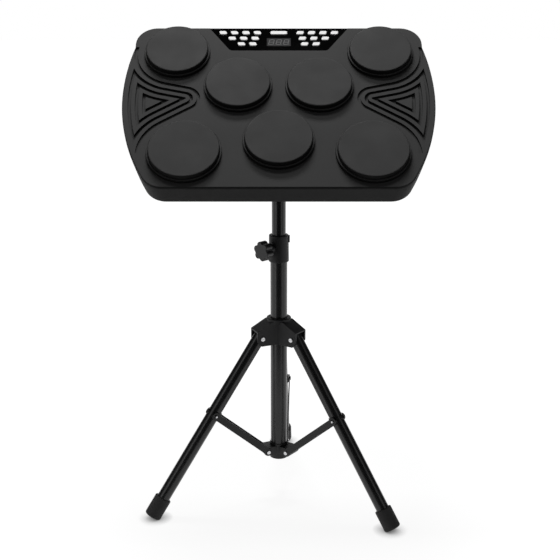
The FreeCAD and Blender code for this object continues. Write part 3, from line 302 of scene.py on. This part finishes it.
def rivet_pair_tree():
    """Two domed heads that face away from a centre point along an axis."""
    tree, enter, leave = shape_tree("Rivet pair", {
        "Radius": "Float", "Height": "Float", "Half span": "Float", "Centre": "Vector", "Axis": "Vector",
        "Plating": "Material"})
    ball = shaped(tree, "GeometryNodeMeshUVSphere", {"Segments": 24, "Rings": 12})
    x, y, z = parted(tree, own_place(tree))
    DOME_POWER = 0.7
    domed = calc(tree, "POWER", calc(tree, "MAXIMUM", z, 0.0), DOME_POWER)
    dome = joined(tree, calc(tree, "MULTIPLY", x, enter["Radius"]), calc(tree, "MULTIPLY", y, enter["Radius"]),
                  calc(tree, "MULTIPLY", domed, enter["Height"]))
    head = shaped(tree, "GeometryNodeSetPosition", {"Geometry": ball, "Position": dome})
    reach = vector_calc(tree, "SCALE", enter["Axis"], scale=enter["Half span"])
    ends = shaped(tree, "GeometryNodeMeshLine", {
        "Count": 2, "Start Location": vector_calc(tree, "SUBTRACT", enter["Centre"], reach),
        "Offset": vector_calc(tree, "SCALE", reach, scale=2.0)})
    outward = vector_calc(tree, "SUBTRACT", own_place(tree), enter["Centre"])
    facing = shaped(tree, "FunctionNodeAlignRotationToVector", {"Vector": outward}, axis="Z")
    pair = shaped(tree, "GeometryNodeInstanceOnPoints", {"Points": ends, "Instance": head, "Rotation": facing})
    real = shaped(tree, "GeometryNodeRealizeInstances", {0: pair})
    smooth = shaped(tree, "GeometryNodeSetShadeSmooth", {"Geometry": real})
    plated = shaped(tree, "GeometryNodeSetMaterial", {"Geometry": smooth, "Material": enter["Plating"]})
    link(tree, plated, leave)
    return tree


def grown(name, tree, values):
    """A plain mesh object from a node tree, with the tree's named inputs set."""
    seed = bpy.data.objects.new(name + "_seed", bpy.data.meshes.new(name + "_seed"))
    scene.collection.objects.link(seed)
    modifier = seed.modifiers.new("grow", "NODES")
    modifier.node_group = tree
    for item in tree.interface.items_tree:
        if item.item_type == "SOCKET" and item.in_out == "INPUT" and item.name in values:
            modifier[item.identifier] = values[item.name]
    evaluated = seed.evaluated_get(bpy.context.evaluated_depsgraph_get())
    mesh = bpy.data.meshes.new_from_object(evaluated)
    mesh.name = name
    seed.modifiers.remove(modifier)
    bpy.data.objects.remove(seed)
    piece = bpy.data.objects.new(name, mesh)
    scene.collection.objects.link(piece)
    return piece


LEG_SPREAD = math.radians(34.0)
STRUT_AT = 0.167
STRUT_FACE = 0.01645
RIVET_RADIUS = 0.00395
RIVET_HEIGHT = 0.00185
rivet_pair = rivet_pair_tree()
joints = {joint["name"]: joint for joint in frame["joints"]}
for k in LEGS:
    pivot = Vector(joints[f"leg_{k}_fold"]["pos_m"])
    axis = Vector(joints[f"leg_{k}_fold"]["axis"])
    outward = (pivot - Vector((0.0, column_y, pivot.z))).normalized()
    down_leg = outward * math.sin(LEG_SPREAD) - Vector((0.0, 0.0, math.cos(LEG_SPREAD)))
    heads = grown(f"strut_rivets_{k}", rivet_pair, {
        "Radius": RIVET_RADIUS, "Height": RIVET_HEIGHT, "Half span": STRUT_FACE, "Axis": axis,
        "Centre": pivot + down_leg * STRUT_AT, "Plating": zinc})
    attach(heads, f"strut_{k}")

# Lower half of the case: a satin ABS moulding with a fine spark-eroded texture.
# It is screwed to the upper half from below.
case_plastic = finish("satin_case", dark=(0.037, 0.037, 0.037), light=(0.045, 0.045, 0.045),
                      rough=(0.56, 0.66), grain_scale=2200.0, grain_height=0.00008, specular=0.05)
paint(case_plastic, "lower_shell")


# Upper half of the case: a moulding in the same plastic, screwed on from below. The walls of the rings,
# the channels and the rim carry painted shade: their colour is made darker than the flats' so that they
# look nearly black. Whether that is colour or shade can't be told from it.
def painted_wall_shade(material, wall_shade, facing):
    """Painted shade: turn a finish to a darker colour on faces that don't look along one direction."""
    tree = material.node_tree
    skin = tree.nodes["Principled BSDF"].inputs
    flat = skin["Base Color"].links[0].from_socket
    normal = add_node(tree, "ShaderNodeTexCoord").outputs["Normal"]
    unshaded_share = ramp(tree, vector_calc(tree, "DOT_PRODUCT", normal, facing), start=0.6, end=0.9)
    # Painted shade: faces that turn away from the given direction take the darker wall colour.
    colour = add_node(tree, "ShaderNodeMix", {
        "Factor": unshaded_share, "A": (*wall_shade, 1.0), "B": flat}, data_type="RGBA")
    link(tree, colour.outputs["Result"], skin["Base Color"])


DECK_TILT = math.radians(41.5)
deck_normal = Vector((0.0, -math.sin(DECK_TILT), math.cos(DECK_TILT)))
deck_plastic = finish("satin_deck", dark=(0.044, 0.044, 0.044), light=(0.054, 0.054, 0.054),
                      rough=(0.56, 0.66), grain_scale=2200.0, grain_height=0.00008, specular=0.05)
# Painted shade on the deck's walls: they get a darker colour than the flats.
painted_wall_shade(deck_plastic, wall_shade=(0.010, 0.010, 0.010), facing=deck_normal)
paint(deck_plastic, "upper_shell")

# Pads: moulded discs of dense rubber with a dry, finely pebbled top, lying on foam rings.
# Their skirts carry painted shade: their colour is darker than the tops', as on the deck's walls.
pad_rubber = finish("pad_rubber", dark=(0.0385, 0.0385, 0.0385), light=(0.046, 0.046, 0.046), rough=(0.66, 0.8),
                    grain_scale=1500.0, grain_height=0.0001, blotch_scale=20.0, specular=0.15)
# Painted shade on the pads' skirts: they get a darker colour than the tops.
painted_wall_shade(pad_rubber, wall_shade=(0.006, 0.006, 0.006), facing=deck_normal)
PADS = range(1, 8)
paint(pad_rubber, *[f"drum_pad_{k}" for k in PADS])

# Console fascia: polished black acrylic sheet with cut openings for the keys and the window,
# let into a seat in the deck.
acrylic = finish("polished_black", dark=(0.0012, 0.0012, 0.0013), light=(0.002, 0.002, 0.0021), rough=(0.03, 0.06),
                 grain_scale=300.0, grain_height=0.000002, blotch_scale=10.0, specular=0.25)
paint(acrylic, "console_fascia")

# Buttons: white moulded keys, satin on top,
# that stand on the domes of a silicone mat under the fascia.
key_white = finish("key_white", dark=(0.74, 0.74, 0.74), light=(0.82, 0.82, 0.82),
                   rough=(0.42, 0.54), grain_scale=2000.0, grain_height=0.00003, specular=0.3)
KEYS = [f"button_{side}_{k}" for side in ("left", "right") for k in range(1, 10)] + ["button_wide"]
paint(key_white, *KEYS)

# Display: a smoked grey window in the fascia, over a module of three seven-bar digits.
# The unlit bars show through it as slightly paler strokes.
smoked = finish("smoked_window", dark=(0.036, 0.036, 0.037), light=(0.043, 0.043, 0.044), rough=(0.05, 0.1),
                grain_scale=400.0, grain_height=0.000002, blotch_scale=10.0, specular=0.25)
paint(smoked, "display_lens")
bar_print = finish("bar_print", dark=(0.12, 0.12, 0.121), light=(0.14, 0.14, 0.141),
                   rough=(0.3, 0.4), grain_scale=1200.0, grain_height=0.000004, specular=0.05)


def bar_digits_tree():
    """Three seven-bar digits with their points, leaning, on a plane tilted about X."""
    tree, enter, leave = shape_tree("Bar digits", {
        "Digit height": "Float", "Digit width": "Float", "Bar length": "Float", "Bar width": "Float",
        "Bar thickness": "Float", "Pitch": "Float", "Lean": "Float", "Point size": "Float", "Tilt": "Float",
        "Centre": "Vector", "Print": "Material"})

    def times(first, second):
        return calc(tree, "MULTIPLY", first, second)

    # One bar: a six-sided disc drawn out to a strip with pointed ends
    hexagon = shaped(tree, "GeometryNodeMeshCylinder", {"Vertices": 6, "Depth": enter["Bar thickness"]})
    x, y, z = parted(tree, own_place(tree))
    flat = calc(tree, "DIVIDE", y, math.sin(math.pi / 3))
    half_bar = times(enter["Bar width"], 0.5)
    half_length = times(enter["Bar length"], 0.5)
    tip = calc(tree, "SUBTRACT", half_length, times(calc(tree, "ABSOLUTE", flat), half_bar))
    strip = joined(tree, times(calc(tree, "SIGN", x), tip), times(flat, half_bar), z)
    bar = shaped(tree, "GeometryNodeSetPosition", {"Geometry": hexagon, "Position": strip})

    # Where the seven bars lie, in shares of the digit's width and height, and their turn
    BARS = ((0.0, 0.5, 0), (0.0, 0.0, 0), (0.0, -0.5, 0),
            (-0.5, 0.25, 1), (0.5, 0.25, 1), (-0.5, -0.25, 1), (0.5, -0.25, 1))
    index = tree.nodes.new("GeometryNodeInputIndex").outputs[0]

    def by_bar(column):
        switch = tree.nodes.new("GeometryNodeIndexSwitch")
        switch.data_type = "FLOAT"
        while len(switch.index_switch_items) < len(BARS):
            switch.index_switch_items.new()
        link(tree, index, switch.inputs["Index"])
        for k, row in enumerate(BARS):
            switch.inputs[k + 1].default_value = row[column]
        return switch.outputs[0]

    bar_place = joined(tree, times(by_bar(0), enter["Digit width"]), times(by_bar(1), enter["Digit height"]), 0.0)
    places = shaped(tree, "GeometryNodePoints", {"Count": len(BARS), "Position": bar_place})
    bar_turn = joined(tree, 0.0, 0.0, times(by_bar(2), math.pi / 2))
    bars = shaped(tree, "GeometryNodeInstanceOnPoints", {"Points": places, "Instance": bar, "Rotation": bar_turn})
    point = shaped(tree, "GeometryNodeMeshCylinder", {
        "Vertices": 12, "Radius": enter["Point size"], "Depth": enter["Bar thickness"]})
    point_x = calc(tree, "ADD", times(enter["Digit width"], 0.5), times(enter["Point size"], 3.0))
    point_place = joined(tree, point_x, times(enter["Digit height"], -0.5), 0.0)
    placed_point = shaped(tree, "GeometryNodeTransform", {"Geometry": point, "Translation": point_place})
    digit = tree.nodes.new("GeometryNodeJoinGeometry")
    for piece in (bars, placed_point):
        link(tree, piece, digit.inputs[0])

    # Three digits in a row, leaning, then laid on the tilted window
    row = shaped(tree, "GeometryNodeMeshLine", {
        "Count": 3, "Start Location": joined(tree, times(enter["Pitch"], -1.0), 0.0, 0.0),
        "Offset": joined(tree, enter["Pitch"], 0.0, 0.0)})
    digits = shaped(tree, "GeometryNodeInstanceOnPoints", {"Points": row, "Instance": digit.outputs[0]})
    real = shaped(tree, "GeometryNodeRealizeInstances", {0: digits})
    height = parted(tree, own_place(tree))["Y"]
    leaning = shaped(tree, "GeometryNodeSetPosition", {
        "Geometry": real, "Offset": joined(tree, times(height, enter["Lean"]), 0.0, 0.0)})
    placed = shaped(tree, "GeometryNodeTransform", {
        "Geometry": leaning, "Rotation": joined(tree, enter["Tilt"], 0.0, 0.0), "Translation": enter["Centre"]})
    printed = shaped(tree, "GeometryNodeSetMaterial", {"Geometry": placed, "Material": enter["Print"]})
    link(tree, printed, leave)
    return tree


window_low, window_high = (Vector(corner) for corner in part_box("display_lens"))
WINDOW_THICKNESS = 0.0016
BAR_THICKNESS = 0.0002
window_face = (window_low + window_high) / 2 + deck_normal * (WINDOW_THICKNESS / 2 + BAR_THICKNESS / 4)
display_digits = grown("display_digits", bar_digits_tree(), {
    "Digit height": 0.0115, "Digit width": 0.0082, "Bar length": 0.0068, "Bar width": 0.0014,
    "Bar thickness": BAR_THICKNESS, "Pitch": 0.0134, "Lean": 0.2, "Point size": 0.0006,
    "Tilt": DECK_TILT, "Centre": window_face, "Print": bar_print})
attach(display_digits, "drum")

# Inside the case: a green circuit board, the keys' silicone mat, foam rings and brass sensor discs
# under the pads, the display's module, and the black sockets that reach through the rear wall.
board_green = finish("board_green", dark=(0.02, 0.10, 0.04), light=(0.03, 0.14, 0.06),
                     rough=(0.3, 0.4), grain_scale=1200.0, grain_height=0.00004)
paint(board_green, "main_board")
silicone = finish("silicone", dark=(0.5, 0.5, 0.5), light=(0.6, 0.6, 0.6),
                  rough=(0.5, 0.6), grain_scale=1200.0, grain_height=0.00004)
paint(silicone, "button_mat")
cell_foam = finish("cell_foam", dark=(0.02, 0.02, 0.02), light=(0.05, 0.05, 0.05),
                   rough=(0.85, 0.95), grain_scale=1600.0, grain_height=0.0003)
paint(cell_foam, "pad_foam_rings")
sensor_brass = finish("sensor_brass", dark=(0.5, 0.36, 0.14), light=(0.62, 0.46, 0.2), rough=(0.25, 0.4),
                      grain_scale=1600.0, grain_height=0.00003, blotch_scale=40.0, metallic=1.0)
paint(sensor_brass, "pad_sensors")
bar_module = finish("bar_module", dark=(0.02, 0.02, 0.02), light=(0.03, 0.03, 0.03),
                    rough=(0.4, 0.5), grain_scale=1200.0, grain_height=0.00003)
paint(bar_module, "led_display")
socket_black = finish("socket_black", dark=(0.01, 0.01, 0.01), light=(0.016, 0.016, 0.016),
                      rough=(0.3, 0.45), grain_scale=1600.0, grain_height=0.00004)
paint(socket_black, "rear_jacks")
